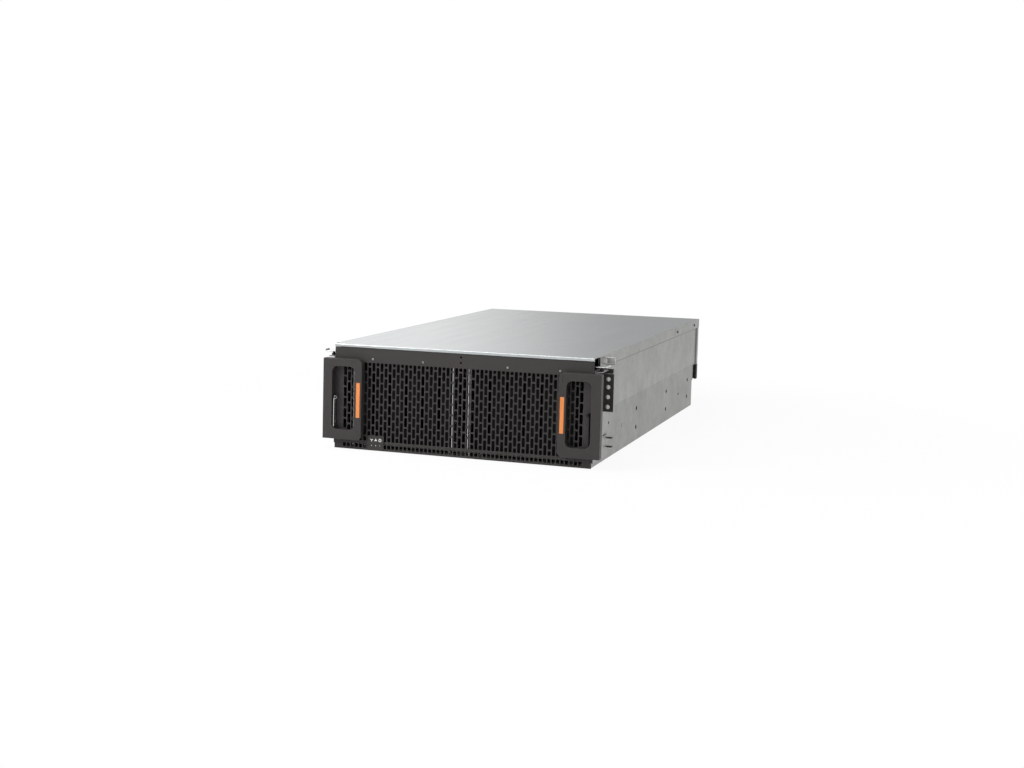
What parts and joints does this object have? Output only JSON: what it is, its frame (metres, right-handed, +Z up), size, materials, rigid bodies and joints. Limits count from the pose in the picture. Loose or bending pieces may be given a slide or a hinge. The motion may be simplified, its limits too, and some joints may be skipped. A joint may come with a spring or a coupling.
{
  "type": "disk shelf enclosure",
  "caption": "Rack-mount top-loading disk shelf: slotted front, deep side handles, tilting drive cover, rear fans, power supplies and interface modules that slide out.",
  "frame": {"origin": "underside of the base, on the centre plane, where the rack's mounting plane crosses it", "axes": "+X to the right seen from the front, +Y to the rear, +Z up"},
  "size_m": [0.495, 0.8595, 0.1745],
  "materials": {
    "black_paint": "fine-textured black powder coat",
    "cover_steel": "pale galvanised sheet",
    "side_steel": "galvanised sheet",
    "zinc_plate": "bright zinc plate",
    "module_steel": "plated sheet",
    "orange_plastic": "smooth orange plastic",
    "black_plastic": "moulded black plastic",
    "bright_steel": "bright plated steel",
    "black_steel": "black oxide",
    "drive_aluminium": "dark coated drive casting",
    "board_green": "solder-masked board",
    "lamp_white": "clear lamp lens"
  },
  "bodies": {
    "chassis": {"chassis_tub": "side_steel", "front_grille": "black_paint", "lower_vent": "black_paint", "grille_screws": "bright_steel", "rear_cover": "cover_steel", "cover_screws": "bright_steel", "left_handle": "black_paint", "right_handle": "black_paint", "left_touch_strip": "orange_plastic", "right_touch_strip": "orange_plastic", "left_ear_bracket": "zinc_plate", "right_ear_bracket": "zinc_plate", "left_rack_flange": "black_paint", "right_rack_flange": "black_paint", "left_duct_wall": "zinc_plate", "right_duct_wall": "zinc_plate", "ear_screws": "bright_steel", "hinge_pins": "black_steel", "indicator_panel": "black_paint", "indicator_lenses": "lamp_white", "centre_spine": "zinc_plate", "cage_cross_rails": "black_paint", "drive_row_1": "drive_aluminium", "drive_row_2": "drive_aluminium", "drive_row_3": "drive_aluminium", "drive_row_4": "drive_aluminium", "drive_row_5": "drive_aluminium", "drive_carriers": "black_plastic", "drive_boards": "board_green", "board_standoffs": "bright_steel", "drive_connectors": "black_plastic", "rear_frame": "zinc_plate", "midplane_board": "board_green"},
    "front_cover": {"front_cover": "cover_steel"},
    "left_cover_latch": {"left_cover_latch": "zinc_plate"},
    "right_cover_latch": {"right_cover_latch": "zinc_plate"},
    "left_release_trigger": {"left_release_trigger": "bright_steel"},
    "right_release_trigger": {"right_release_trigger": "bright_steel"},
    "fan_module_1": {"fan_module_1": "black_plastic"},
    "fan_impeller_1": {"fan_impeller_1": "black_plastic"},
    "fan_latch_1": {"fan_latch_1": "orange_plastic"},
    "fan_module_2": {"fan_module_2": "black_plastic"},
    "fan_impeller_2": {"fan_impeller_2": "black_plastic"},
    "fan_latch_2": {"fan_latch_2": "orange_plastic"},
    "fan_module_3": {"fan_module_3": "black_plastic"},
    "fan_impeller_3": {"fan_impeller_3": "black_plastic"},
    "fan_latch_3": {"fan_latch_3": "orange_plastic"},
    "fan_module_4": {"fan_module_4": "black_plastic"},
    "fan_impeller_4": {"fan_impeller_4": "black_plastic"},
    "fan_latch_4": {"fan_latch_4": "orange_plastic"},
    "psu_1": {"psu_1": "module_steel"},
    "psu_latch_1": {"psu_latch_1": "orange_plastic"},
    "psu_bail_1": {"psu_bail_1": "bright_steel"},
    "io_module_1": {"io_module_1": "module_steel"},
    "io_lever_1": {"io_lever_1": "black_plastic"},
    "psu_2": {"psu_2": "module_steel"},
    "psu_latch_2": {"psu_latch_2": "orange_plastic"},
    "psu_bail_2": {"psu_bail_2": "bright_steel"},
    "io_module_2": {"io_module_2": "module_steel"},
    "io_lever_2": {"io_lever_2": "black_plastic"}
  },
  "joints": [
    {"name": "front_cover_hinge", "type": "hinge", "parent": "chassis", "child": "front_cover", "pos_m": [0, 0.558, 0.1745], "axis": [-1, 0, 0], "range_deg": [0, 60]},
    {"name": "left_cover_latch_turn", "type": "hinge", "parent": "chassis", "child": "left_cover_latch", "pos_m": [-0.229, -0.033, 0.1571], "axis": [0, 0, -1], "range_deg": [0, 60]},
    {"name": "left_release_trigger_pull", "type": "hinge", "parent": "chassis", "child": "left_release_trigger", "pos_m": [-0.2146, -0.05375, 0.08575], "axis": [0, -1, 0], "range_deg": [0, 12], "stiffness_Nm_per_rad": 0.06},
    {"name": "right_cover_latch_turn", "type": "hinge", "parent": "chassis", "child": "right_cover_latch", "pos_m": [0.229, -0.033, 0.1571], "axis": [0, 0, 1], "range_deg": [0, 60]},
    {"name": "right_release_trigger_pull", "type": "hinge", "parent": "chassis", "child": "right_release_trigger", "pos_m": [0.2146, -0.05375, 0.08575], "axis": [0, 1, 0], "range_deg": [0, 12], "stiffness_Nm_per_rad": 0.06},
    {"name": "fan_module_1_slide", "type": "slide", "parent": "chassis", "child": "fan_module_1", "axis": [0, 1, 0], "range_m": [0, 0.1]},
    {"name": "fan_1_spin", "type": "hinge", "parent": "fan_module_1", "child": "fan_impeller_1", "pos_m": [-0.16425, 0.742, 0.11275], "axis": [0, 1, 0], "continuous": true},
    {"name": "fan_latch_1_press", "type": "hinge", "parent": "fan_module_1", "child": "fan_latch_1", "pos_m": [-0.12575, 0.7959, 0.165], "axis": [1, 0, 0], "range_deg": [0, 25], "stiffness_Nm_per_rad": 0.02},
    {"name": "fan_module_2_slide", "type": "slide", "parent": "chassis", "child": "fan_module_2", "axis": [0, 1, 0], "range_m": [0, 0.1]},
    {"name": "fan_2_spin", "type": "hinge", "parent": "fan_module_2", "child": "fan_impeller_2", "pos_m": [-0.05475, 0.742, 0.11275], "axis": [0, 1, 0], "continuous": true},
    {"name": "fan_latch_2_press", "type": "hinge", "parent": "fan_module_2", "child": "fan_latch_2", "pos_m": [-0.01625, 0.7959, 0.165], "axis": [1, 0, 0], "range_deg": [0, 25], "stiffness_Nm_per_rad": 0.02},
    {"name": "fan_module_3_slide", "type": "slide", "parent": "chassis", "child": "fan_module_3", "axis": [0, 1, 0], "range_m": [0, 0.1]},
    {"name": "fan_3_spin", "type": "hinge", "parent": "fan_module_3", "child": "fan_impeller_3", "pos_m": [0.05475, 0.742, 0.11275], "axis": [0, 1, 0], "continuous": true},
    {"name": "fan_latch_3_press", "type": "hinge", "parent": "fan_module_3", "child": "fan_latch_3", "pos_m": [0.09325, 0.7959, 0.165], "axis": [1, 0, 0], "range_deg": [0, 25], "stiffness_Nm_per_rad": 0.02},
    {"name": "fan_module_4_slide", "type": "slide", "parent": "chassis", "child": "fan_module_4", "axis": [0, 1, 0], "range_m": [0, 0.1]},
    {"name": "fan_4_spin", "type": "hinge", "parent": "fan_module_4", "child": "fan_impeller_4", "pos_m": [0.16425, 0.742, 0.11275], "axis": [0, 1, 0], "continuous": true},
    {"name": "fan_latch_4_press", "type": "hinge", "parent": "fan_module_4", "child": "fan_latch_4", "pos_m": [0.20275, 0.7959, 0.165], "axis": [1, 0, 0], "range_deg": [0, 25], "stiffness_Nm_per_rad": 0.02},
    {"name": "psu_1_slide", "type": "slide", "parent": "chassis", "child": "psu_1", "axis": [0, 1, 0], "range_m": [0, 0.195]},
    {"name": "psu_bail_1_swing", "type": "hinge", "parent": "psu_1", "child": "psu_bail_1", "pos_m": [-0.1612, 0.7622, 0.0425], "axis": [1, 0, 0], "range_deg": [0, 90]},
    {"name": "psu_latch_1_press", "type": "hinge", "parent": "psu_1", "child": "psu_latch_1", "pos_m": [-0.1992, 0.7619, 0.0445], "axis": [1, 0, 0], "range_deg": [0, 25], "stiffness_Nm_per_rad": 0.02},
    {"name": "psu_2_slide", "type": "slide", "parent": "chassis", "child": "psu_2", "axis": [0, 1, 0], "range_m": [0, 0.195]},
    {"name": "psu_bail_2_swing", "type": "hinge", "parent": "psu_2", "child": "psu_bail_2", "pos_m": [0.1892, 0.7622, 0.0425], "axis": [1, 0, 0], "range_deg": [0, 90]},
    {"name": "psu_latch_2_press", "type": "hinge", "parent": "psu_2", "child": "psu_latch_2", "pos_m": [0.1512, 0.7619, 0.0445], "axis": [1, 0, 0], "range_deg": [0, 25], "stiffness_Nm_per_rad": 0.02},
    {"name": "io_module_1_slide", "type": "slide", "parent": "chassis", "child": "io_module_1", "axis": [0, 1, 0], "range_m": [0, 0.195]},
    {"name": "io_lever_1_swing", "type": "hinge", "parent": "io_module_1", "child": "io_lever_1", "pos_m": [-0.1212, 0.7624, 0.0395], "axis": [0, 0, 1], "range_deg": [0, 75]},
    {"name": "io_module_2_slide", "type": "slide", "parent": "chassis", "child": "io_module_2", "axis": [0, 1, 0], "range_m": [0, 0.195]},
    {"name": "io_lever_2_swing", "type": "hinge", "parent": "io_module_2", "child": "io_lever_2", "pos_m": [0.1212, 0.7624, 0.0395], "axis": [0, 0, -1], "range_deg": [0, 75]}
  ]
}
